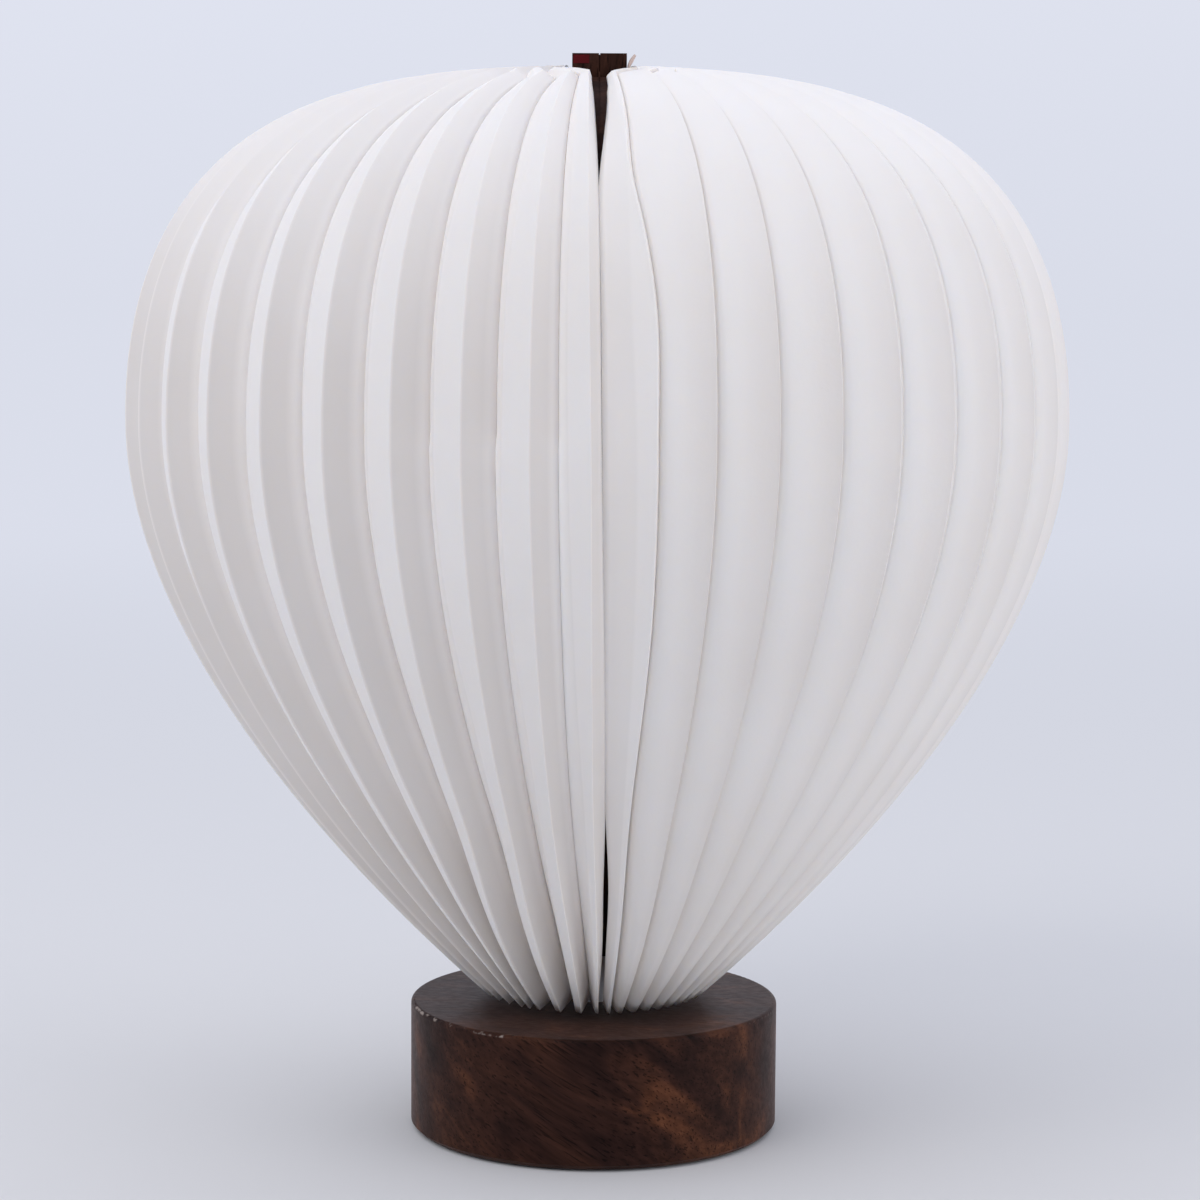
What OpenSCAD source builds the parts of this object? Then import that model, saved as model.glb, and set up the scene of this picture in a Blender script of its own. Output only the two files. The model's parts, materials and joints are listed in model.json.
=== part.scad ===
// Accordion paper lantern: a pleated paper balloon between two walnut boards, on a round base.
// Origin at the centre of the underside, +Z up. The front, where the boards meet, faces -Y.

/* [Base] */
// Diameter of the round wooden base
base_d = 90; // [88:1:110]
// Height of the base's top face above the table
base_h = 31.4; // [31:0.1:36]
// Radius that breaks the base's top edge and chamfer of its bottom edge
base_edge = 1.0; // [0.4:0.1:1.6]
// Height at which the wood clears the table
foot_reveal = 0.6; // [0.3:0.1:1]

/* [Paper balloon] */
// Number of paper pleats, each one leaf
leaf_count = 40; // [20:2:40]
// Thickness of one pleat pressed flat
leaf_t = 0.15; // [0.1:0.01:0.16]
// Distance from the axis to the inner edge of the leaves
leaf_inner_r = 24; // [24:0.5:26]
// Diameter of the balloon at its widest
balloon_d = 226.4; // [210:1:240]
// Height of the widest place
widest_z = 173.8; // [165:1:180]
// Height of the paper's crest
crest_z = 256.6; // [250:1:262]
// Diameter of the paper's lower mouth
throat_d = 54; // [52:1:60]
// Gap between the base and the paper
throat_gap = 2.2; // [1.5:0.1:4]
// Slope of the lower taper, in degrees from level
taper_slope = 42.7; // [40:0.5:48]
// How much closer the pleats stand beside the boards than at the back
front_squeeze = 0.4; // [0:0.05:0.5]
// Pleats over which the closer spacing fades, beside the moving board
right_fade = 9; // [3:0.5:12]
// Pleats over which the closer spacing fades, beside the fixed board
left_fade = 5; // [3:0.5:12]

/* [Boards] */
// Thickness of each wooden board
board_t = 6; // [5:0.1:6]
// Gap between the two boards' cover faces when they meet
seam_gap = 0.3; // [0.2:0.05:0.4]
// Height of the tab on which the boards end above the paper
tab_top_z = 257.7; // [257:0.1:259]
// Distance from the axis to the tab's front end
tab_front_r = 44; // [40:1:48]
// How far a board's rim lies inside the paper at the widest place
board_inset = 7; // [5:0.5:9]

/* [Hardware] */
// Outer diameter of the upright spine tube
tube_d = 12; // [11:0.5:12]
// Radial running clearance of the hinge knuckles on the tube
knuckle_play = 0.05; // [0.02:0.01:0.09]
// Outer diameter of the frosted diffuser
diffuser_d = 22; // [21:0.5:24]
// Diameter of the power button
button_d = 8; // [7:0.5:8]
// Diameter of each closing magnet
magnet_d = 8; // [6:0.5:9]

/* [Hidden] */
$fn = 96;
eps = 0.01;
fit = 0.05;

// Names of the hardware nodes, then one node for each leaf
HARDWARE = [
    "base_block", "base_plate", "plate_screws", "foot_ring", "ballast_disc", "battery_pack",
    "control_board", "usb_c_socket", "power_button", "spine_tube", "led_strips",
    "diffuser_tube", "top_cap", "fixed_board", "fixed_hinge_arms", "fixed_magnets",
    "red_inlay", "moving_board", "moving_hinge_arms", "moving_magnets"
];
function leaf_name(i) = str("leaf_", i < 10 ? "0" : "", i);

walnut = [0.25, 0.15, 0.11];
paper = [0.95, 0.94, 0.93];

// Base levels, from the table upwards
foot_h = 1.2;
foot_r = 34;
foot_w = 6;
plate_t = 3;
ledge_z = foot_h + plate_t;
cavity_r = base_d / 2 - 9;
cavity_top = base_h - 8;
plate_r = base_d / 2 - 4.2;
screw_r = cavity_r + 1.8;
screw_angles = [45:90:315];
ballast_t = 4;
ballast_top = ledge_z + ballast_t;
battery_size = [42, 23, 7];
battery_y = -16;
board_size = [36, 26, 1.6];
pcb_y = 13.5;
pcb_z = 11.6;
standoff_x = 14;
standoff_y = [3, 24];
usb_size = [9, 7.4, 3.2];
usb_face_y = base_d / 2 - 1.6;
usb_slot = [12.4, 5.6];
button_z = 15.6;
button_turn = -32;
button_proud = 0.6;
button_flange_r = button_d / 2 + 1.4;
button_flange_y = cavity_r - 2.2;
button_travel = 1;
switch_y = button_flange_y - button_travel - 0.2;

// Column levels
tube_r = tube_d / 2;
tube_bore_r = tube_r - 1.5;
tube_top = 246;
flange_r = 12;
flange_t = 2.5;
knuckle_r = 9.5;
knuckle_h = 8;
knuckle_gap = 0.4;
fixed_knuckle_z = [64, 234];
moving_knuckle_z = [fixed_knuckle_z[0] + knuckle_h + knuckle_gap,
                    fixed_knuckle_z[1] - knuckle_h - knuckle_gap];
arm_t = 2.5;
arm_reach = 13;
arm_x = (seam_gap + board_t) / 2 - arm_t / 2;
diffuser_z = [moving_knuckle_z[0] + knuckle_h + 4, moving_knuckle_z[1] - 4];
diffuser_wall = 1.5;
strip_w = 8;
strip_t = 1;
led_pitch = 10;
led_size = [3.5, 0.7, 2.8];

// Magnets, as [distance from the axis, height]
magnet_places = [[95, 174], [68, 234], [46, 84]];
magnet_t = 2.5;

// Red inlay in the front end of the fixed board's tab: width, depth, height
inlay_size = [3.6, 1, 1.9];

// The balloon's outline: two cubic Bezier curves that meet at the widest place
balloon_r = balloon_d / 2;
throat_r = throat_d / 2;
throat_z = base_h + throat_gap;
taper_handle = 31;
waist_handle = 0.41 * (widest_z - throat_z);
crest_curve = [[8, crest_z], [41.4, crest_z], [balloon_r, crest_z], [balloon_r, widest_z]];
taper_curve = [
    [balloon_r, widest_z],
    [balloon_r, widest_z - waist_handle],
    [throat_r + taper_handle * cos(taper_slope), throat_z + taper_handle * sin(taper_slope)],
    [throat_r, throat_z]
];
curve_steps = 16;

function bezier(c, t) =
    pow(1 - t, 3) * c[0] + 3 * t * pow(1 - t, 2) * c[1] + 3 * t * t * (1 - t) * c[2] + pow(t, 3) * c[3];
function bezier_slope(c, t) =
    3 * (pow(1 - t, 2) * (c[1] - c[0]) + 2 * t * (1 - t) * (c[2] - c[1]) + t * t * (c[3] - c[2]));
// A point moved inwards from the outline, square to it
function inset_point(c, t, inset) =
    let (s = bezier_slope(c, t)) bezier(c, t) + inset * [s[1], -s[0]] / norm(s);

// Outline of a leaf in its own plane, as [distance from the axis, height]
leaf_outline = concat(
    [[leaf_inner_r, throat_z + 1], [leaf_inner_r, crest_z]],
    [for (k = [1:curve_steps]) let (p = bezier(crest_curve, k / curve_steps))
        if (p[0] > leaf_inner_r + 1) p],
    [for (k = [1:curve_steps]) bezier(taper_curve, k / curve_steps)]
);

// Outline of a board: the tab, then the rim inside the paper, down to the toe beside the column
tab_root_t = 0.31;
tab_root_inset = 2.6;
toe_inset = 12;
toe_z = throat_z + 13.2;
board_outline = concat(
    [[leaf_inner_r, toe_z], [leaf_inner_r, tab_top_z], [tab_front_r, tab_top_z],
     [tab_front_r, crest_z - 4.2]],
    [for (k = [0:curve_steps])
        let (u = k / curve_steps, t = tab_root_t + (1 - tab_root_t) * u)
        inset_point(crest_curve, t, tab_root_inset + (board_inset - tab_root_inset) * u)],
    [for (k = [1:curve_steps])
        let (t = k / curve_steps,
             p = inset_point(taper_curve, t, board_inset + (toe_inset - board_inset) * t))
        if (p[0] > leaf_inner_r + 1) p]
);

// Direction of each leaf's plane, in degrees from the front, counterclockwise from above
function gap_weight(k) =
    1 - front_squeeze * (exp(-(k + 0.5) / right_fade)
                         + exp(-(leaf_count - 1.5 - k) / left_fade));
gap_weights = [for (k = [0:leaf_count - 2]) gap_weight(k)];
function total(list, n) = n <= 0 ? 0 : list[n - 1] + total(list, n - 1);
function leaf_direction(i) = 360 * total(gap_weights, i - 1) / total(gap_weights, leaf_count - 1);
// Sideways offset of each leaf's plane: the end leaves lie on the boards' paper faces
end_offset = seam_gap / 2 + board_t + 0.1 + leaf_t / 2;
function leaf_offset(i) = end_offset * (1 - leaf_direction(i) / 180);

// A flat shape drawn as [distance, height], stood up facing the front, centred on x
module upright(thickness)
    rotate([90, 0, -90]) linear_extrude(thickness, center = true) children();

module disc(r, z0, z1) translate([0, 0, z0]) cylinder(r = r, h = z1 - z0);

// A flat slot shape with round ends
module pill(width, height) {
    square([width - height, height], center = true);
    for (side = [-1, 1]) translate([side * (width - height) / 2, 0]) circle(d = height);
}

module base_block() color(walnut) difference() {
    rotate_extrude() difference() {
        polygon([[0, foot_reveal], [base_d / 2 - base_edge, foot_reveal],
                 [base_d / 2, foot_reveal + base_edge], [base_d / 2, base_h - base_edge],
                 [base_d / 2 - base_edge, base_h - base_edge], [base_d / 2 - base_edge, base_h],
                 [0, base_h]]);
        polygon([[0, 0], [plate_r + 0.2, 0], [plate_r + 0.2, ledge_z], [cavity_r, ledge_z],
                 [cavity_r, cavity_top], [0, cavity_top]]);
    }
    // Bore for the spine tube
    disc(tube_r + fit, cavity_top - 1, base_h + 1);
    // Pilot holes for the plate's screws
    for (a = screw_angles) rotate(a) translate([screw_r, 0, ledge_z - eps]) cylinder(r = 1.3, h = 9);
    // Slot for the charging socket
    translate([0, base_d / 2 - 6, pcb_z + 2.3]) rotate([90, 0, 0])
        linear_extrude(14, center = true) pill(usb_slot[0], usb_slot[1]);
    // Bore for the power button
    rotate(button_turn) translate([0, cavity_r - 4, button_z]) rotate([-90, 0, 0])
        cylinder(r = button_d / 2 + fit, h = 20);
}

// The quarter-round that finishes the base's top edge
module base_edge_round() color(walnut) rotate_extrude()
    translate([base_d / 2 - base_edge, base_h - base_edge]) intersection() {
        circle(r = base_edge);
        square(base_edge);
    }

module base_plate() color("#1d1d1f") {
    difference() {
        disc(plate_r, foot_h, ledge_z - fit);
        for (a = screw_angles) rotate(a) translate([screw_r, 0, 0]) {
            translate([0, 0, foot_h - 1]) cylinder(r = 1.7, h = plate_t + 2);
            translate([0, 0, foot_h - 1]) cylinder(r = 2.7, h = 2.3);
        }
    }
}

module plate_screws() color("#8a8d90") for (a = screw_angles) rotate(a) translate([screw_r, 0, 0])
    difference() {
        union() {
            translate([0, 0, foot_h + 0.1]) cylinder(r = 2.5, h = 1.1);
            translate([0, 0, foot_h + 0.1]) cylinder(r = 1.1, h = 10);
        }
        for (turn = [0, 90]) rotate(turn) translate([0, 0, foot_h]) cube([3.4, 0.7, 1.4], center = true);
    }

module foot_ring() color("#2a2a2a") difference() {
    disc(foot_r, 0, foot_h);
    disc(foot_r - foot_w, -1, foot_h + 1);
}

module ballast_disc() color("#6f7276") difference() {
    disc(cavity_r - 1, ledge_z, ballast_top);
    for (x = [-standoff_x, standoff_x], y = standoff_y) translate([x, y, 0]) cylinder(r = 2, h = 20);
}

module battery_pack() color("#3b5c86")
    translate([0, battery_y, ballast_top + battery_size[2] / 2]) cube(battery_size, center = true);

// Charging and dimming board with its parts, the socket's tongue, the button's switch and standoffs
module control_board() color("#1f6b43") {
    translate([-board_size[0] / 2, pcb_y - board_size[1] / 2, pcb_z]) cube(board_size);
    translate([-4.5, pcb_y, pcb_z]) cube([9, 26, board_size[2]]);
    for (x = [-standoff_x, standoff_x], y = standoff_y) translate([x, y, ledge_z])
        cylinder(r = 1.8, h = pcb_z - ledge_z);
    translate([-14, 6, pcb_z + board_size[2]]) cube([7, 7, 1.2]);
    translate([6, 4, pcb_z + board_size[2]]) cube([6, 6, 3]);
    translate([-4, 5, pcb_z + board_size[2]]) cube([3, 5, 1]);
    rotate(button_turn) translate([-3, switch_y - 5, pcb_z + eps]) cube([6, 5, button_z - pcb_z + 2]);
}

module usb_c_socket() color("#c9ccd0") {
    wall = 0.35;
    z0 = pcb_z + board_size[2];
    translate([0, usb_face_y, z0 + usb_size[2] / 2]) rotate([90, 0, 0]) {
        difference() {
            linear_extrude(usb_size[1]) pill(usb_size[0], usb_size[2]);
            translate([0, 0, -1]) linear_extrude(usb_size[1])
                pill(usb_size[0] - 2 * wall, usb_size[2] - 2 * wall);
        }
        translate([-3.3, -0.35, 0.6]) cube([6.6, 0.7, usb_size[1] - 1]);
    }
}

module power_button() color("#2b2522")
    rotate(button_turn) translate([0, 0, button_z]) rotate([-90, 0, 0]) {
    translate([0, 0, button_flange_y]) cylinder(r = button_flange_r, h = 1.4);
    translate([0, 0, button_flange_y])
        cylinder(r = button_d / 2, h = base_d / 2 + button_proud - button_flange_y);
}

module spine_tube() color("#b9bcc0") difference() {
    union() {
        disc(tube_r, cavity_top - flange_t, tube_top);
        disc(flange_r, cavity_top - flange_t, cavity_top);
    }
    disc(tube_bore_r, 0, tube_top + 1);
}

module led_strips() color("#e9e3c2") for (a = [0, 120, 240]) rotate(a) {
    z0 = diffuser_z[0] + 4;
    z1 = diffuser_z[1] - 4;
    translate([-strip_w / 2, tube_r, z0]) cube([strip_w, strip_t, z1 - z0]);
    for (z = [z0 + led_pitch / 2:led_pitch:z1 - led_pitch / 2])
        translate([-led_size[0] / 2, tube_r + strip_t, z - led_size[2] / 2]) cube(led_size);
}

module diffuser_tube() color([0.96, 0.96, 0.94, 0.7]) difference() {
    disc(diffuser_d / 2, diffuser_z[0], diffuser_z[1]);
    disc(diffuser_d / 2 - diffuser_wall, diffuser_z[0] + 2, diffuser_z[1] - 2);
    disc(tube_r + fit, diffuser_z[0] - 1, diffuser_z[1] + 1);
}

module top_cap() color(walnut) difference() {
    rotate_extrude() polygon([[0, tube_top - 3], [9, tube_top - 3], [9, tube_top + 1],
                              [7, tube_top + 3], [0, tube_top + 3]]);
    disc(tube_r + fit, tube_top - 4, tube_top + fit);
}

// A board with its cover face on the seam plane, on the side given by side (-1 left, 1 right)
module board(side) difference() {
    translate([side * (seam_gap + board_t) / 2, 0, 0]) upright(board_t) polygon(board_outline);
    // Blind seats for the magnets, open at the cover face
    for (p = magnet_places) translate([side * (seam_gap / 2 - 1), -p[0], p[1]]) rotate([0, side * 90, 0])
        cylinder(r = magnet_d / 2 + fit, h = 1 + magnet_t + 0.1);
    // Sockets for the hinge arms, open at the inner edge
    for (z = side < 0 ? fixed_knuckle_z : moving_knuckle_z)
        translate([side < 0 ? -arm_x - arm_t - fit : arm_x - fit, -leaf_inner_r - arm_reach - fit, z - fit])
            cube([arm_t + 2 * fit, arm_reach + 1, knuckle_h + 2 * fit]);
}

// Two knuckles on the tube, each with an arm that ends inside the board
module hinge_arms(side, levels, play) for (z = levels) difference() {
    union() {
        disc(knuckle_r, z, z + knuckle_h);
        translate([side < 0 ? -arm_x - arm_t : arm_x, -leaf_inner_r - arm_reach, z])
            cube([arm_t, leaf_inner_r + arm_reach - tube_r - 1, knuckle_h]);
    }
    disc(tube_r + play, z - 1, z + knuckle_h + 1);
}

module magnets(side) for (p = magnet_places)
    translate([side * (seam_gap / 2 + 0.05), -p[0], p[1]]) rotate([0, side * 90, 0])
        cylinder(r = magnet_d / 2, h = magnet_t);

module fixed_board() color(walnut) difference() {
    board(-1);
    translate([-seam_gap / 2 - board_t + 0.2, -tab_front_r - eps, tab_top_z - 2.3])
        cube([inlay_size[0] + 2 * fit, inlay_size[1] + eps, inlay_size[2] + 2 * fit]);
}
module moving_board() color(walnut) board(1);
module fixed_hinge_arms() color("#a98f4f") hinge_arms(-1, fixed_knuckle_z, fit);
module moving_hinge_arms() color("#a98f4f") hinge_arms(1, moving_knuckle_z, knuckle_play);
module fixed_magnets() color("#cfd2d6") magnets(-1);
module moving_magnets() color("#cfd2d6") magnets(1);
module red_inlay() color("#7a1016")
    translate([-seam_gap / 2 - board_t + 0.2 + fit, -tab_front_r, tab_top_z - 2.3 + fit]) cube(inlay_size);

// One pleat of the paper, pressed flat, standing in its own plane
module leaf(i) color(paper)
    rotate(leaf_direction(i)) translate([leaf_offset(i), 0, 0]) upright(leaf_t) polygon(leaf_outline);

union() {
    base_block();
    base_edge_round();
}
base_plate();
plate_screws();
foot_ring();
ballast_disc();
battery_pack();
control_board();
usb_c_socket();
power_button();
spine_tube();
led_strips();
diffuser_tube();
top_cap();
fixed_board();
fixed_hinge_arms();
fixed_magnets();
red_inlay();
moving_board();
moving_hinge_arms();
moving_magnets();
for (i = [1:leaf_count]) leaf(i);
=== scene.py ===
"""Accordion paper lantern: its detailed paper, finishes, light and camera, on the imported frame."""
import json
import math

import bpy
import numpy as np
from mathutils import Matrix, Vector


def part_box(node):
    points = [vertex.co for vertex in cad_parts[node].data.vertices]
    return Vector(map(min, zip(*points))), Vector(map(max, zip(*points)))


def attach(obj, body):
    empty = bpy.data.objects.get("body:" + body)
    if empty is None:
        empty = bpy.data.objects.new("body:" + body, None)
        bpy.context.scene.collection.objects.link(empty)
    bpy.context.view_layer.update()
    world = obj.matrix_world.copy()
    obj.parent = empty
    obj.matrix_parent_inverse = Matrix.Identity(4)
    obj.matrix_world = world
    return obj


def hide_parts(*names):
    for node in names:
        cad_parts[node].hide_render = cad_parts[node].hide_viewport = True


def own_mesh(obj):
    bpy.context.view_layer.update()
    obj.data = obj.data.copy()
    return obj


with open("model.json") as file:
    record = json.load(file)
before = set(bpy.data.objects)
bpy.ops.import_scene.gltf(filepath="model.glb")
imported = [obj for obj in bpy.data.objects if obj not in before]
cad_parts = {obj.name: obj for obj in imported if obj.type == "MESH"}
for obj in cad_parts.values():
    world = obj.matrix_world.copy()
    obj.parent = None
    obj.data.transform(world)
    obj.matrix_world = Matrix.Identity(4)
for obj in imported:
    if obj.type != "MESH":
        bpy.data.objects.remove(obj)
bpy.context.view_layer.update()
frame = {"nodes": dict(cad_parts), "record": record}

MM = 0.001
random = np.random.default_rng(7)

# The balloon, in millimetres, as the CAD model has it
LEAVES = 40
BALLOON_R = 113.2
WIDEST_Z = 173.8
CREST_Z = 256.6
THROAT_R = 27.0
THROAT_Z = 33.6
INNER_R = 24.0
TAB_R = 44.0
TOE_Z = 46.8
TAB_TOP_Z = 257.7
TAPER_HANDLE = 31.0
TAPER_SLOPE = math.radians(42.7)
WAIST_HANDLE = 0.41 * (WIDEST_Z - THROAT_Z)
CREST_CURVE = [(8.0, CREST_Z), (41.4, CREST_Z), (BALLOON_R, CREST_Z), (BALLOON_R, WIDEST_Z)]
TAPER_CURVE = [
    (BALLOON_R, WIDEST_Z),
    (BALLOON_R, WIDEST_Z - WAIST_HANDLE),
    (THROAT_R + TAPER_HANDLE * math.cos(TAPER_SLOPE), THROAT_Z + TAPER_HANDLE * math.sin(TAPER_SLOPE)),
    (THROAT_R, THROAT_Z),
]
BOARD_FACE = 6.35
FRONT_SQUEEZE, RIGHT_FADE, LEFT_FADE = 0.4, 9, 5
RIDGE_LEAD = 2.75
STATIONS = 84
SHEET = 0.15
# How deep the edge of the paper beside the seam lies, and where the pleats' inner edges are, in leaves
LIP_DEPTH = 2.5
INNER_EDGES = (-0.12, 0.22)


# ---------------------------------------------------------------- the paper's shape


def smooth(low, high, x):
    """0 below low, 1 above high, and a soft step between them."""
    t = np.clip((np.asarray(x, float) - low) / (high - low), 0, 1)
    return t * t * (3 - 2 * t)


def lerp(a, b, t):
    return a + (b - a) * t


def through(points, x):
    """A smooth curve through a few (place, value) points."""
    px, py = np.array(points, float).T
    slope = np.gradient(py, px)
    k = np.clip(np.searchsorted(px, x) - 1, 0, len(px) - 2)
    width = px[k + 1] - px[k]
    t = np.clip((x - px[k]) / width, 0, 1)
    return (
        (2 * t**3 - 3 * t**2 + 1) * py[k]
        + (t**3 - 2 * t**2 + t) * width * slope[k]
        + (3 * t**2 - 2 * t**3) * py[k + 1]
        + (t**3 - t**2) * width * slope[k + 1]
    )


def bezier(curve, t):
    a, b, c, d = (np.array(p) for p in curve)
    t = np.asarray(t)[:, None]
    return (1 - t) ** 3 * a + 3 * t * (1 - t) ** 2 * b + 3 * t**2 * (1 - t) * c + t**3 * d


def outline():
    """Even stations down the balloon's outline.

    Gives the distance from the axis, height, inward normal, run from 0 to 1 and depth of a board's rim.
    """
    t = np.linspace(0, 1, 600)
    crest = bezier(CREST_CURVE, t)
    crest_rim = lerp(2.6, 7.0, np.clip((t - 0.31) / 0.69, 0, 1))
    kept = crest[:, 0] > INNER_R + 0.6
    taper = bezier(TAPER_CURVE, t)[1:]
    taper_rim = lerp(7.0, 12.0, t[1:])
    points = np.concatenate([crest[kept], taper])
    rims = np.concatenate([crest_rim[kept], taper_rim])
    steps = np.hypot(*np.diff(points, axis=0).T)
    run = np.concatenate([[0], np.cumsum(steps)])
    run /= run[-1]
    even = np.linspace(0, 1, STATIONS)
    r = np.interp(even, run, points[:, 0])
    z = np.interp(even, run, points[:, 1])
    tangent = np.gradient(np.stack([r, z]), axis=1)
    tangent /= np.hypot(*tangent)
    normal = np.stack([tangent[1], -tangent[0]])
    return r, z, normal, even, np.interp(even, run, rims)


R, Z, NORMAL, RUN, RIM = outline()
# The stations from the crest down to the widest place
UPPER = RUN < 0.451


def gap_weight(k):
    """How wide the gap after leaf k + 1 is, against the gaps at the back. The pleats crowd at the seam."""
    near_right = math.exp(-(k + 0.5) / RIGHT_FADE)
    near_left = math.exp(-(LEAVES - 1.5 - k) / LEFT_FADE)
    return 1 - FRONT_SQUEEZE * (near_right + near_left)


WEIGHTS = [gap_weight(k) for k in range(LEAVES - 1)]


def leaf_plane(f):
    """Direction in degrees and sideways offset in millimetres of the flat CAD leaf numbered f.

    A fraction gives a plane between two leaves.
    """
    places = np.concatenate([[0], np.cumsum(WEIGHTS)]) / sum(WEIGHTS) * 360
    direction = float(np.interp(f, np.arange(1, LEAVES + 1), places))
    return direction, 6.325 * (1 - direction / 180)


# Where the creases of the two pleats beside the seam lie, as (run, x) points
RIGHT_RIDGE = [(0, 2.2), (0.1, 3.7), (0.19, 5.4), (0.26, 6.7), (0.3, 9.1), (0.35, 11.5), (0.45, 12.3),
               (0.56, 11.8), (0.76, 7.5), (0.88, 6.0), (1, 3.8)]
RIGHT_CREASE = [(0, 1.9), (0.1, 2.9), (0.19, 4.6), (0.26, 6.2), (0.35, 7.0), (0.45, 8.4), (0.56, 8.4),
                (0.76, 6.3), (0.88, 5.2), (1, 3.3)]
RIGHT_LIP = [(0, 1.0), (0.08, 1.3), (0.16, 1.75), (0.21, 1.1), (0.26, 0.1), (0.34, 0.6), (0.45, 1.1),
             (0.76, 2.5), (0.84, 3.3), (0.92, 2.9), (1, 2.4)]
LEFT_RIDGE = [(0, -2.0), (0.1, -2.3), (0.3, -2.1), (0.45, -1.35), (0.76, -0.4), (0.88, 0.5), (1, 1.0)]
LEFT_CREASE = [(0, -3.2), (0.1, -4.4), (0.23, -5.5), (0.35, -6.3), (0.45, -6.05), (0.6, -4.6), (0.76, -2.1),
               (0.92, -0.1), (1, 0.5)]
LEFT_LIP = [(0, -1.8), (0.1, -1.6), (0.19, -0.8), (0.26, -0.1), (0.34, 0.4), (0.45, 0.9), (0.76, 2.3),
            (0.84, 2.0), (0.92, 1.9), (1, 1.1)]
# How far, in degrees, some ridges lean round at the throat
THROAT_LEAN = {
    2: 1.7, 3: 2.2, 4: 1.9, 5: 1.1, 7: -1.5, 8: -2.4, 9: -1.0,
    36: -3.5, 37: -6.0, 38: -2.5, 39: 0.8,
}


def turned(x, r):
    """The azimuth in degrees of a point x to the right of the middle, at distance r in front of the axis."""
    return np.degrees(np.arcsin(np.clip(np.asarray(x) / r, -0.95, 0.95)))


def ridge_azimuth(i):
    """Azimuth of pleat i's sharp ridge at each station."""
    if i == 1:
        return turned(through(RIGHT_RIDGE, RUN), R)
    if i == LEAVES:
        return 360 + turned(through(LEFT_RIDGE, RUN), R)
    direction, offset = leaf_plane(i)
    base = direction + math.degrees(math.asin(offset / BALLOON_R)) + RIDGE_LEAD
    return base + THROAT_LEAN.get(i, 0) * smooth(0.75, 1, RUN)


RIDGES = {i: ridge_azimuth(i) for i in range(1, LEAVES + 1)}
WAIST = smooth(88, 110, R)
CREASE_SHARE = lerp(0.27, 0.41, WAIST)


def shingled(i):
    """1 for the pleats just right of the seam, which lie over each other like shingles, falling to 0."""
    return float(1 - smooth(55, 110, leaf_plane(i)[0])) if i > 1 else 0.0


def valley_depth(i):
    """How deep the valley between pleats i and i + 1 is, always outside the paper's inner edge."""
    direction, _ = leaf_plane(i)
    upper = through([(0, 2.0), (0.1, 2.2), (0.2, 3.0), (0.3, 4.0), (0.45, 5.2)], RUN)
    lower = through([(0.45, 5.2), (0.6, 5.4), (0.76, 6.2), (0.9, 9.0), (1, 11.0)], RUN)
    lower = lower * (1 - 0.3 * smooth(325, 350, direction))
    shallow = 1 - 0.55 * shingled(i + 1) - 0.25 * smooth(345, 356, direction)
    depth = np.where(UPPER, upper, lower) * shallow
    room = (R - INNER_R - 0.3) / np.maximum(-NORMAL[0], 0.05)
    return np.minimum(depth, np.maximum(room, 0.8))


def valley_azimuth(i):
    """Azimuth of the valley between pleats i and i + 1."""
    share = float(lerp(0.06, 0.46, smooth(8, 75, leaf_plane(i)[0])))
    return RIDGES[i] + share * (RIDGES[i + 1] - RIDGES[i])


def clear_of_boards(azimuth, depth, r):
    """An azimuth that keeps the paper beside the boards and, in the crest, beside their tabs."""
    tab = np.degrees(np.arcsin(np.minimum((BOARD_FACE + 0.1) / np.minimum(R, TAB_R + 3), 0.9)))
    beside = smooth(TAB_R + 4, TAB_R + 1, R) * UPPER
    signed = (azimuth + 180) % 360 - 180
    side = np.where(azimuth > 180, -1, 1)
    signed = signed + side * beside * tab * np.exp(-np.abs(signed) / 25)
    inside = smooth(RIM - 2.5, RIM - 0.5, depth) * smooth(TOE_Z - 3, TOE_Z + 6, Z)
    face = np.degrees(np.arcsin(np.minimum(BOARD_FACE / np.maximum(r, 1), 0.9)))
    edge = lerp(-8, face, inside)
    return side * np.maximum(side * signed, edge)


def sheet_column(azimuth, depth):
    """The points of one line down a pleat, from an azimuth and a depth at each station."""
    r = R + NORMAL[0] * depth
    z = Z + NORMAL[1] * depth
    a = np.radians(clear_of_boards(azimuth, depth, r))
    return np.stack([r * np.sin(a), -r * np.cos(a), z], axis=1)


def inner_column(f, side, valley):
    """The paper's inner edge, where the plane numbered f meets the cylinder round the spine."""
    direction, offset = leaf_plane(f)
    a = math.radians(direction)
    x = INNER_R * math.sin(a) + offset * math.cos(a)
    y = -INNER_R * math.cos(a) + offset * math.sin(a)
    column = np.stack([np.full(STATIONS, x), np.full(STATIONS, y), valley[:, 2]], axis=1)
    round_valley = valley.copy()
    round_valley[:, :2] *= (INNER_R / np.hypot(valley[:, 0], valley[:, 1]))[:, None]
    beside = smooth(TOE_Z - 6, TOE_Z + 4, valley[:, 2])[:, None]
    column = lerp(round_valley, column, beside)
    shift = side * SHEET * 0.6
    return column + np.array([math.cos(a), math.sin(a), 0]) * shift


def bowed(share, bow):
    """A share of the way along a panel and across it, for a panel that bows outwards."""
    angle = share * math.pi / 2
    return lerp(share, 1 - math.cos(angle), bow), lerp(share, math.sin(angle), bow)


def tucked_edge(lip, lip_depth, side):
    """The paper beside the seam, from its lip round to the board's face and down beside it."""
    tuck_depth = RIM - 0.55
    face = turned(side * BOARD_FACE, R) + (360 if side < 0 else 0)
    return [
        sheet_column(lerp(lip, face, 0.12), lerp(lip_depth, tuck_depth, 0.5)),
        sheet_column(lerp(lip, face, 0.5), lerp(lip_depth, tuck_depth, 0.9)),
        sheet_column(lerp(lip, face, 0.93), tuck_depth + 0.1),
        sheet_column(face, RIM + 0.6),
    ]


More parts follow.
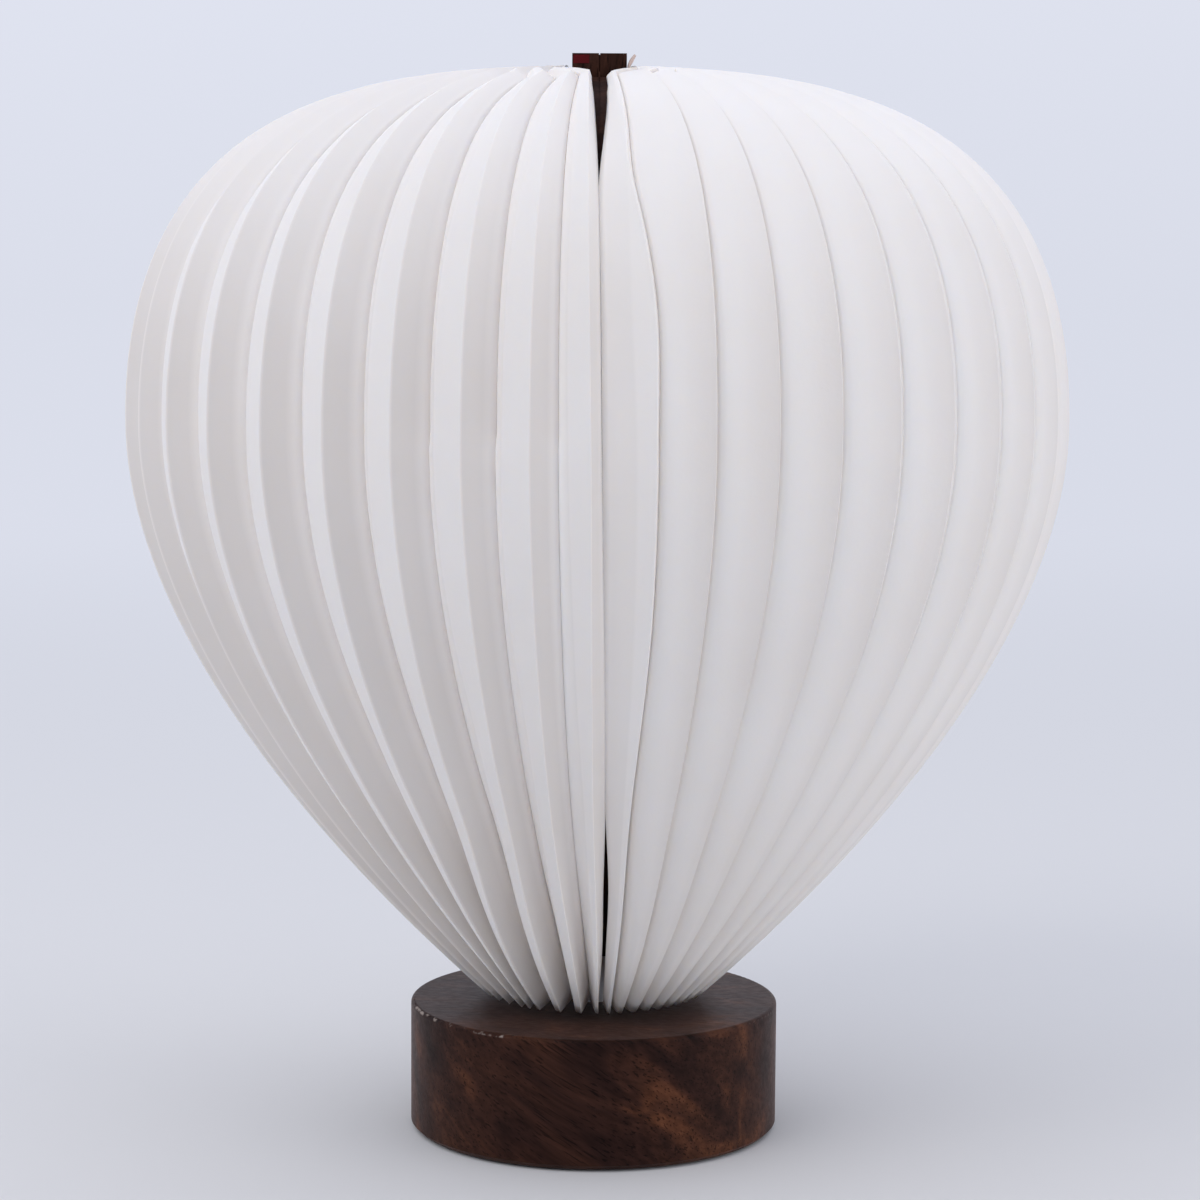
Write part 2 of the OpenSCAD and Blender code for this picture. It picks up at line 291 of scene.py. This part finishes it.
def pleat_columns(i):
    """Columns of pleat i from its left inner edge, over the crease and the ridge, to its right one."""
    ridge = RIDGES[i]
    noise = random.normal(0, 1, 6)
    wave = 1 + 0.05 * noise[0] * np.sin(2 * math.pi * (RUN + noise[1])) + 0.04 * noise[2]
    degree = np.radians(1) * R
    lip_depth = np.minimum(RIM * 0.62, LIP_DEPTH)
    # Left half: valley, rising panel, soft crease, flat strip
    if i == 1:
        crease = turned(through(RIGHT_CREASE, RUN), R)
    elif i == LEAVES:
        crease = 360 + turned(through(LEFT_CREASE, RUN), R)
    else:
        crease = ridge - CREASE_SHARE * wave * (ridge - RIDGES[i - 1])
    shingle = shingled(i)
    tilt = math.tan(math.radians(lerp(20, 6, shingle)))
    start_depth = valley_depth(max(i - 1, 1))
    crease_depth = np.minimum((ridge - crease) * degree * tilt, start_depth * 0.45)
    left = []
    if i == 1:
        lip = turned(through(RIGHT_LIP, RUN), R)
        left += reversed(tucked_edge(lip, lip_depth, 1))
        start, start_depth = lip, lip_depth
    else:
        start = valley_azimuth(i - 1) + np.degrees(SHEET * 0.6 / np.maximum(R - start_depth, 5))
    for share in (0, 0.2, 0.4, 0.6, 0.8, 0.93):
        across, out = bowed(share, lerp(0.0, 0.7, shingle))
        left.append(sheet_column(lerp(start, crease, across), lerp(start_depth, crease_depth, out)))
    for share in (0.06, 0.35, 0.7, 0.93):
        left.append(sheet_column(lerp(crease, ridge, share), crease_depth * (1 - share)))
    peak = sheet_column(ridge, 0 * RUN)
    # Right half: the return face down to the next valley
    right = []
    if i == LEAVES:
        end, end_depth = 360 + turned(through(LEFT_LIP, RUN), R), lip_depth
    else:
        end_depth = valley_depth(i)
        end = valley_azimuth(i) - np.degrees(SHEET * 0.6 / np.maximum(R - end_depth, 5))
    for share in (0.93, 0.8, 0.6, 0.4, 0.2, 0):
        across, out = bowed(share, lerp(0.0, 0.2, shingle))
        right.append(sheet_column(lerp(end, ridge, across), lerp(end_depth, 0, out)))
    if i == LEAVES:
        right += tucked_edge(end, end_depth, -1)
    inner_left = inner_column(max(i + INNER_EDGES[0], 1), 1, left[0])
    inner_right = inner_column(min(i + INNER_EDGES[1], LEAVES), -1, right[-1])
    left_mid = lerp(inner_left, left[0], 0.5)
    right_mid = lerp(inner_right, right[-1], 0.5)
    columns = [inner_left, left_mid] + left + [peak] + right + [right_mid, inner_right]
    return columns, 2 + len(left)


def grid_mesh(name, columns, sharp, painted_shades):
    """A sheet through the columns, with its ridge marked sharp and a painted shade for each column.

    The painted shade evens out over the crest.
    """
    count = len(columns)
    points = np.stack(columns, axis=1).reshape(-1, 3) * MM
    # Painted shade and light: each column's value darkens the paper on faces turned from the light and
    # lightens it in the valleys
    painted_shade = np.tile(np.interp(np.arange(count), *zip(*painted_shades)), (STATIONS, 1))
    painted_shade = lerp(painted_shade, 0.72, 0.85 * (1 - smooth(0.2, 0.42, RUN))[:, None])
    faces = []
    for s in range(STATIONS - 1):
        for c in range(count - 1):
            a = s * count + c
            faces.append((a, a + count, a + count + 1, a + 1))
    mesh = bpy.data.meshes.new(name)
    mesh.from_pydata(points.tolist(), [], faces)
    mesh.polygons.foreach_set("use_smooth", [True] * len(faces))
    mesh.attributes.new("painted_shade", "FLOAT", "POINT").data.foreach_set("value", painted_shade.ravel())
    for edge in mesh.edges:
        a, b = edge.vertices
        edge.use_edge_sharp = a % count == sharp and b % count == sharp
    mesh.update()
    return mesh


def thicken(obj, thickness):
    """Gives a sheet its thickness, in millimetres."""
    solid = obj.modifiers.new("sheet", "SOLIDIFY")
    solid.thickness = thickness * MM
    solid.offset = 0


def make_pleat(i, material):
    """One pleat, in place of its flat CAD leaf, which it follows as the lantern folds."""
    name = f"pleat_{i:02d}"
    columns, sharp = pleat_columns(i)
    crease = sharp - 4
    plain = shingled(i)
    # (column, painted shade) from the left valley to the right one: 0 paints the paper darkest, as shade on
    # the faces turned from the light, and 1 lightest, as painted light in the valleys
    painted_shades = [
        (2, 0.5 if i == 1 else 1.0),
        (crease - 1, lerp(0.5, 0.55, plain)),
        (crease, lerp(0.67, 0.5, plain)),
        (sharp, lerp(0.67, 0.15, plain)),
        (sharp + 1, 0.1),
        (sharp + 4, 0.2),
        (sharp + 6, 0.5 if i == LEAVES else 0.85),
    ]
    obj = bpy.data.objects.new(name, grid_mesh(name, columns, sharp, painted_shades))
    bpy.context.scene.collection.objects.link(obj)
    obj.data.materials.append(material)
    leaf = f"leaf_{i:02d}"
    # The end leaves are glued to the boards
    body = {1: "moving_board", LEAVES: "base"}.get(i, leaf)
    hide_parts(leaf)
    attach(obj, body)
    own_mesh(obj)
    thicken(obj, SHEET)


# ---------------------------------------------------------------- materials


def new_material(name):
    material = bpy.data.materials.new(name)
    material.use_nodes = True
    tree = material.node_tree
    return material, tree, tree.nodes["Principled BSDF"]


def node(tree, kind, **values):
    """A shader node, with the values of its inputs or settings."""
    made = tree.nodes.new(kind)
    for key, value in values.items():
        if key in made.inputs:
            made.inputs[key].default_value = value
        else:
            setattr(made, key, value)
    return made


def ramp(tree, source, stops):
    """A colour for each value of source, from (value, colour) stops."""
    made = tree.nodes.new("ShaderNodeValToRGB")
    made.color_ramp.elements[0].position = stops[0][0]
    made.color_ramp.elements[0].color = (*stops[0][1], 1)
    made.color_ramp.elements[1].position = stops[-1][0]
    made.color_ramp.elements[1].color = (*stops[-1][1], 1)
    for place, colour in stops[1:-1]:
        made.color_ramp.elements.new(place).color = (*colour, 1)
    tree.links.new(source, made.inputs["Fac"])
    return made.outputs["Color"]


def tinted(tree, a, b):
    """One colour multiplied by another."""
    mix = node(tree, "ShaderNodeMix", data_type="RGBA", blend_type="MULTIPLY")
    mix.inputs[0].default_value = 1.0
    tree.links.new(a, mix.inputs[6])
    tree.links.new(b, mix.inputs[7])
    return mix.outputs[2]


def paper_material():
    """Thick white paper with fine fibres. How light each part of it is comes from painted shade and light
    stored on the mesh.
    """
    material, tree, shader = new_material("paper")
    shader.inputs["Roughness"].default_value = 0.7
    shader.inputs["Specular IOR Level"].default_value = 0.25
    place = node(tree, "ShaderNodeTexCoord")
    fibres = node(tree, "ShaderNodeTexNoise", Scale=900.0, Detail=4.0)
    clouds = node(tree, "ShaderNodeTexNoise", Scale=26.0, Detail=3.0)
    tree.links.new(place.outputs["Object"], fibres.inputs["Vector"])
    tree.links.new(place.outputs["Object"], clouds.inputs["Vector"])
    painted_shade = node(tree, "ShaderNodeAttribute", attribute_name="painted_shade")
    # Painted shade: the paper turns darker and warmer where the mesh's painted value is low
    sheet = ramp(tree, painted_shade.outputs["Fac"], [(0.0, (0.735, 0.69, 0.65)), (1.0, (0.99, 0.925, 0.875))])
    cloud = ramp(tree, clouds.outputs["Fac"], [(0.3, (0.97, 0.968, 0.962)), (0.7, (1.0, 1.0, 1.0))])
    tree.links.new(tinted(tree, sheet, cloud), shader.inputs["Base Color"])
    shader.inputs["Subsurface Weight"].default_value = 0.8
    shader.inputs["Subsurface Radius"].default_value = (1.0, 0.9, 0.75)
    shader.inputs["Subsurface Scale"].default_value = 0.00025
    bump = node(tree, "ShaderNodeBump", Strength=0.12, Distance=0.0002)
    tree.links.new(fibres.outputs["Fac"], bump.inputs["Height"])
    tree.links.new(bump.outputs["Normal"], shader.inputs["Normal"])
    return material


def plain_material(name, colour, roughness, metallic=0.0, specular=0.5):
    """A moulded or machined finish with a fine, faint grain."""
    material, tree, shader = new_material(name)
    shader.inputs["Specular IOR Level"].default_value = specular
    shader.inputs["Metallic"].default_value = metallic
    place = node(tree, "ShaderNodeTexCoord")
    noise = node(tree, "ShaderNodeTexNoise", Scale=1500.0, Detail=3.0)
    tree.links.new(place.outputs["Object"], noise.inputs["Vector"])
    for socket, value in (("Base Color", colour), ("Roughness", (roughness,) * 3)):
        lower = tuple(c * 0.92 for c in value)
        varied = ramp(tree, noise.outputs["Fac"], [(0.3, lower), (0.7, value)])
        tree.links.new(varied, shader.inputs[socket])
    return material


def walnut_material(name, grain_turn, roughness, rim=None):
    """Dark walnut with streaks along the grain and open pores.

    rim is the radius and height of a round rim with pale marks.
    """
    material, tree, shader = new_material(name)
    place = node(tree, "ShaderNodeTexCoord")
    turn = node(tree, "ShaderNodeMapping", Rotation=grain_turn)
    tree.links.new(place.outputs["Object"], turn.inputs["Vector"])

    def streaks(along, across, detail, distortion):
        """Noise drawn out along the grain."""
        stretch = node(tree, "ShaderNodeMapping", Scale=(along, across, across))
        tree.links.new(turn.outputs["Vector"], stretch.inputs["Vector"])
        noise = node(tree, "ShaderNodeTexNoise", Scale=1.0, Detail=detail, Distortion=distortion)
        tree.links.new(stretch.outputs["Vector"], noise.inputs["Vector"])
        return noise.outputs["Fac"]

    figure = ramp(tree, streaks(14, 85, 3.0, 0.8), [
        (0.3, (0.010, 0.0045, 0.004)), (0.45, (0.025, 0.0102, 0.0076)),
        (0.58, (0.042, 0.0165, 0.0105)), (0.72, (0.1, 0.037, 0.018)),
    ])
    fibres = streaks(60, 800, 4.0, 0.3)
    fibre = ramp(tree, fibres, [(0.3, (0.62, 0.6, 0.6)), (0.7, (1.25, 1.25, 1.25))])
    pores = ramp(tree, streaks(110, 2200, 1.0, 0.0), [(0.33, (0.35, 0.35, 0.35)), (0.4, (1.0, 1.0, 1.0))])
    colour = tinted(tree, tinted(tree, figure, fibre), pores)
    if rim:
        colour = with_pale_rim_marks(tree, place, colour, *rim)
    tree.links.new(colour, shader.inputs["Base Color"])
    shader.inputs["Specular IOR Level"].default_value = 0.1
    shader.inputs["IOR"].default_value = 1.35
    shader.inputs["Sheen Weight"].default_value = 0.07
    shader.inputs["Sheen Roughness"].default_value = 0.5
    shader.inputs["Sheen Tint"].default_value = (1.0, 0.6, 0.48, 1)
    polish = ramp(tree, fibres, [(0.3, (roughness + 0.05,) * 3), (0.7, (roughness - 0.05,) * 3)])
    tree.links.new(polish, shader.inputs["Roughness"])
    bump = node(tree, "ShaderNodeBump", Strength=0.25, Distance=0.0001)
    tree.links.new(pores, bump.inputs["Height"])
    tree.links.new(bump.outputs["Normal"], shader.inputs["Normal"])
    return material


def with_pale_rim_marks(tree, place, colour, radius, height):
    """Small pale marks on the front left of a round rim, which has this radius and height."""
    flat = node(tree, "ShaderNodeVectorMath", operation="MULTIPLY")
    flat.inputs[1].default_value = (1, 1, 0)
    away = node(tree, "ShaderNodeVectorMath", operation="LENGTH")
    split = node(tree, "ShaderNodeSeparateXYZ")
    tree.links.new(place.outputs["Object"], flat.inputs[0])
    tree.links.new(flat.outputs["Vector"], away.inputs[0])
    tree.links.new(place.outputs["Object"], split.inputs[0])
    mark_noise = node(tree, "ShaderNodeTexNoise", Scale=260.0, Detail=3.0)
    tree.links.new(place.outputs["Object"], mark_noise.inputs["Vector"])
    pale_marks = ramp(tree, mark_noise.outputs["Fac"], [(0.52, (0, 0, 0)), (0.58, (1, 1, 1))])
    front_left = node(tree, "ShaderNodeVectorMath", operation="DOT_PRODUCT")
    front_left.inputs[1].default_value = (-0.76, -0.65, 0)
    tree.links.new(place.outputs["Object"], front_left.inputs[0])
    places = [
        (away.outputs["Value"], radius),
        (split.outputs["Z"], height),
        (front_left.outputs["Value"], 0.9 * radius),
    ]
    for value, edge in places:
        near = node(tree, "ShaderNodeMapRange", interpolation_type="SMOOTHSTEP")
        near.inputs["From Min"].default_value = edge - 0.0009
        near.inputs["From Max"].default_value = edge - 0.0004
        tree.links.new(value, near.inputs["Value"])
        pale_marks = tinted(tree, pale_marks, near.outputs["Result"])
    mix = node(tree, "ShaderNodeMix", data_type="RGBA")
    tree.links.new(pale_marks, mix.inputs[0])
    tree.links.new(colour, mix.inputs[6])
    mix.inputs[7].default_value = (0.3, 0.25, 0.22, 1)
    return mix.outputs[2]


def link_piece(name, points, faces, material, body):
    """A small piece from points in millimetres, made part of a body."""
    mesh = bpy.data.meshes.new(name)
    mesh.from_pydata([tuple(c * MM for c in p) for p in points], [], faces)
    mesh.polygons.foreach_set("use_smooth", [True] * len(faces))
    obj = bpy.data.objects.new(name, mesh)
    bpy.context.scene.collection.objects.link(obj)
    mesh.materials.append(material)
    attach(obj, body)
    return obj


def seam_liner(material):
    """A thin strip that fills the gap between the boards along the fixed board's rim."""
    width, half_gap = 3.0, 0.15
    rim_r, rim_z = R + NORMAL[0] * (RIM + 0.3), Z + NORMAL[1] * (RIM + 0.3)
    beyond_tab = (rim_r > TAB_R - 1) & UPPER | (rim_z > TOE_Z + 1) & ~UPPER
    outer = [(INNER_R + 0.5, TAB_TOP_Z - 0.3), (TAB_R - 0.3, TAB_TOP_Z - 0.3), (TAB_R - 0.3, TAB_TOP_Z - 4)]
    inner = [(INNER_R + 0.5, TAB_TOP_Z - 3.3), (TAB_R - 3.3, TAB_TOP_Z - 3.3), (TAB_R - 3.3, TAB_TOP_Z - 7)]
    outer += list(zip(rim_r[beyond_tab], rim_z[beyond_tab]))
    inner += [
        (r + n[0] * width, z + n[1] * width)
        for r, z, n in zip(rim_r[beyond_tab], rim_z[beyond_tab], NORMAL.T[beyond_tab])
    ]
    points = [(x, -r, z) for x in (half_gap, -half_gap) for r, z in outer + inner]
    n = len(outer)
    faces = []
    for k in range(n - 1):
        a, b, c, d = k, k + 1, n + k + 1, n + k
        far = 2 * n
        faces += [(a, b, c, d), (far + d, far + c, far + b, far + a)]
        faces += [(b, a, far + a, far + b), (d, c, far + c, far + d)]
    ends = [(0, n, 3 * n, 2 * n), (2 * n - 1, n - 1, 3 * n - 1, 4 * n - 1)]
    obj = link_piece("seam_liner", points, faces + ends, material, "base")
    obj.data.polygons.foreach_set("use_smooth", [False] * len(obj.data.polygons))


def curled_corner(material):
    """The glued, doubled corner of the end paper, which curls up beside the moving board's tab."""
    points, faces = [], []
    across, up = 9, 8
    for j in range(across):
        for k in range(up):
            t, u = k / (up - 1), j / (across - 1)
            curl = 0.2 + 1.5 * t**2 * (1 - 0.5 * u)
            points.append((BOARD_FACE + curl, -43.5 + 7 * u, CREST_Z - 2.2 + 3.0 * t * (1 - 0.35 * u)))
    for j in range(across - 1):
        for k in range(up - 1):
            a = j * up + k
            faces.append((a, a + up, a + up + 1, a + 1))
    obj = link_piece("curled_corner", points, faces, material, "moving_board")
    thicken(obj, 0.6)


PAPER = paper_material()
for number in range(1, LEAVES + 1):
    make_pleat(number, PAPER)

BASE_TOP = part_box("base_block")[1]
FINISHES = {
    "walnut": walnut_material("walnut", (0.3, -0.55, 0.0), 0.41, (BASE_TOP[0], BASE_TOP[2])),
    "board_walnut": walnut_material("board_walnut", (0.0, 1.5, 0.1), 0.75),
    "black_plastic": plain_material("black_plastic", (0.02, 0.02, 0.022), 0.5),
    "steel": plain_material("steel", (0.5, 0.5, 0.52), 0.3, 1.0),
    "foot_rubber": plain_material("foot_rubber", (0.03, 0.03, 0.03), 0.8),
    "ballast_iron": plain_material("ballast_iron", (0.2, 0.2, 0.21), 0.5, 1.0),
    "battery_wrap": plain_material("battery_wrap", (0.05, 0.14, 0.3), 0.4),
    "circuit_board": plain_material("circuit_board", (0.02, 0.15, 0.06), 0.4),
    "aluminium": plain_material("aluminium", (0.75, 0.76, 0.78), 0.35, 1.0),
    "led_strip": plain_material("led_strip", (0.8, 0.75, 0.5), 0.4),
    "frosted_diffuser": plain_material("frosted_diffuser", (0.85, 0.85, 0.83), 0.5),
    "brass": plain_material("brass", (0.55, 0.4, 0.16), 0.3, 1.0),
    "magnet_nickel": plain_material("magnet_nickel", (0.7, 0.7, 0.72), 0.2, 1.0),
    "red_lacquer": plain_material("red_lacquer", (0.085, 0.0025, 0.004), 0.35, specular=0.12),
}
SLOTS = {part["node"]: part["material_slot"] for part in frame["record"]["subparts"]}
seam_liner(FINISHES["board_walnut"])
# The curled corner is white paper; its tan colour is painted shade
curled_corner(plain_material("end_paper_painted_shade", (0.66, 0.52, 0.46), 0.7))
for name, obj in frame["nodes"].items():
    obj.data.materials.clear()
    obj.data.materials.append(FINISHES.get(SLOTS[name], PAPER))

# ---------------------------------------------------------------- studio, light and camera


# The surround's colour, its brightness at the horizon, and how that changes towards +X, +Y and +Z
HORIZON = (0.70, 0.725, 0.82)
SKY_LEVEL = 0.87
SKY_LEAN = (-0.05, 0.13, 0.55)


def sky_level(tree, direction):
    """How bright the surround is in a direction."""
    lean = node(tree, "ShaderNodeVectorMath", operation="DOT_PRODUCT")
    lean.inputs[1].default_value = SKY_LEAN
    tree.links.new(direction, lean.inputs[0])
    level = node(tree, "ShaderNodeMath", operation="ADD")
    level.inputs[1].default_value = SKY_LEVEL
    tree.links.new(lean.outputs["Value"], level.inputs[0])
    return level.outputs[0]


def floor():
    """A wide pale floor, which fades away from the object into a glow as bright as the surround."""
    rings = [0.0001, 0.3, 0.8, 2.0, 6.0, 20.0, 80.0, 300.0]
    sides = 64
    circle = [(math.cos(2 * math.pi * k / sides), math.sin(2 * math.pi * k / sides)) for k in range(sides)]
    points = [(r * x, r * y, 0) for r in rings for x, y in circle]
    faces = []
    for j in range(len(rings) - 1):
        for k in range(sides):
            n = (k + 1) % sides
            faces.append((j * sides + k, (j + 1) * sides + k, (j + 1) * sides + n, j * sides + n))
    mesh = bpy.data.meshes.new("floor")
    mesh.from_pydata(points, [], faces)
    obj = bpy.data.objects.new("floor", mesh)
    bpy.context.scene.collection.objects.link(obj)
    material, tree, shader = new_material("floor")
    shader.inputs["Base Color"].default_value = (0.69, 0.69, 0.69, 1)
    shader.inputs["Roughness"].default_value = 0.9
    shader.inputs["Specular IOR Level"].default_value = 0.0
    place = node(tree, "ShaderNodeTexCoord")
    away = node(tree, "ShaderNodeVectorMath", operation="LENGTH")
    tree.links.new(place.outputs["Object"], away.inputs[0])
    fade = node(tree, "ShaderNodeMapRange", interpolation_type="SMOOTHSTEP")
    fade.inputs["From Min"].default_value = 0.25
    fade.inputs["From Max"].default_value = 2.0
    tree.links.new(away.outputs["Value"], fade.inputs["Value"])
    glow = node(tree, "ShaderNodeEmission")
    glow.inputs["Color"].default_value = (*HORIZON, 1)
    outward = node(tree, "ShaderNodeVectorMath", operation="NORMALIZE")
    tree.links.new(place.outputs["Object"], outward.inputs[0])
    tree.links.new(sky_level(tree, outward.outputs["Vector"]), glow.inputs["Strength"])
    mix = node(tree, "ShaderNodeMixShader")
    tree.links.new(fade.outputs["Result"], mix.inputs["Fac"])
    tree.links.new(shader.outputs[0], mix.inputs[1])
    tree.links.new(glow.outputs[0], mix.inputs[2])
    tree.links.new(mix.outputs[0], tree.nodes["Material Output"].inputs["Surface"])
    obj.data.materials.append(material)


def sky():
    """A soft surround, brightest overhead, a little brighter at the back and on the left."""
    world = bpy.data.worlds.new("world")
    world.use_nodes = True
    tree = world.node_tree
    place = node(tree, "ShaderNodeTexCoord")
    background = tree.nodes["Background"]
    background.inputs["Color"].default_value = (*HORIZON, 1)
    tree.links.new(sky_level(tree, place.outputs["Generated"]), background.inputs["Strength"])
    bpy.context.scene.world = world


def area_light(name, place, size, power, colour):
    """A square light aimed at the middle of the object, and not seen itself."""
    light = bpy.data.lights.new(name, "AREA")
    light.shape = "SQUARE"
    light.size = size
    light.energy = power
    light.color = colour
    obj = bpy.data.objects.new(name, light)
    obj.location = place
    obj.rotation_euler = (Vector((0, 0, 0.15)) - Vector(place)).to_track_quat("-Z", "Y").to_euler()
    obj.visible_camera = False
    bpy.context.scene.collection.objects.link(obj)


def camera():
    """A long lens a little above the widest place, looking slightly down."""
    data = bpy.data.cameras.new("camera")
    data.lens = 90
    data.sensor_width = 36
    data.shift_x = 0.0016
    obj = bpy.data.objects.new("camera", data)
    obj.location = (0, -0.7274, 0.2021)
    obj.rotation_euler = (math.radians(90 - 5.68), math.radians(-0.355), 0)
    bpy.context.scene.collection.objects.link(obj)
    bpy.context.scene.camera = obj


floor()
sky()
area_light("key", (-0.9, -0.9, 1.3), 0.9, 5.4, (1.0, 0.965, 0.92))
area_light("fill", (2.25, -0.9, 0.105), 1.5, 20.9, (1.0, 0.97, 0.95))
bpy.context.scene.view_settings.view_transform = "Standard"
camera()
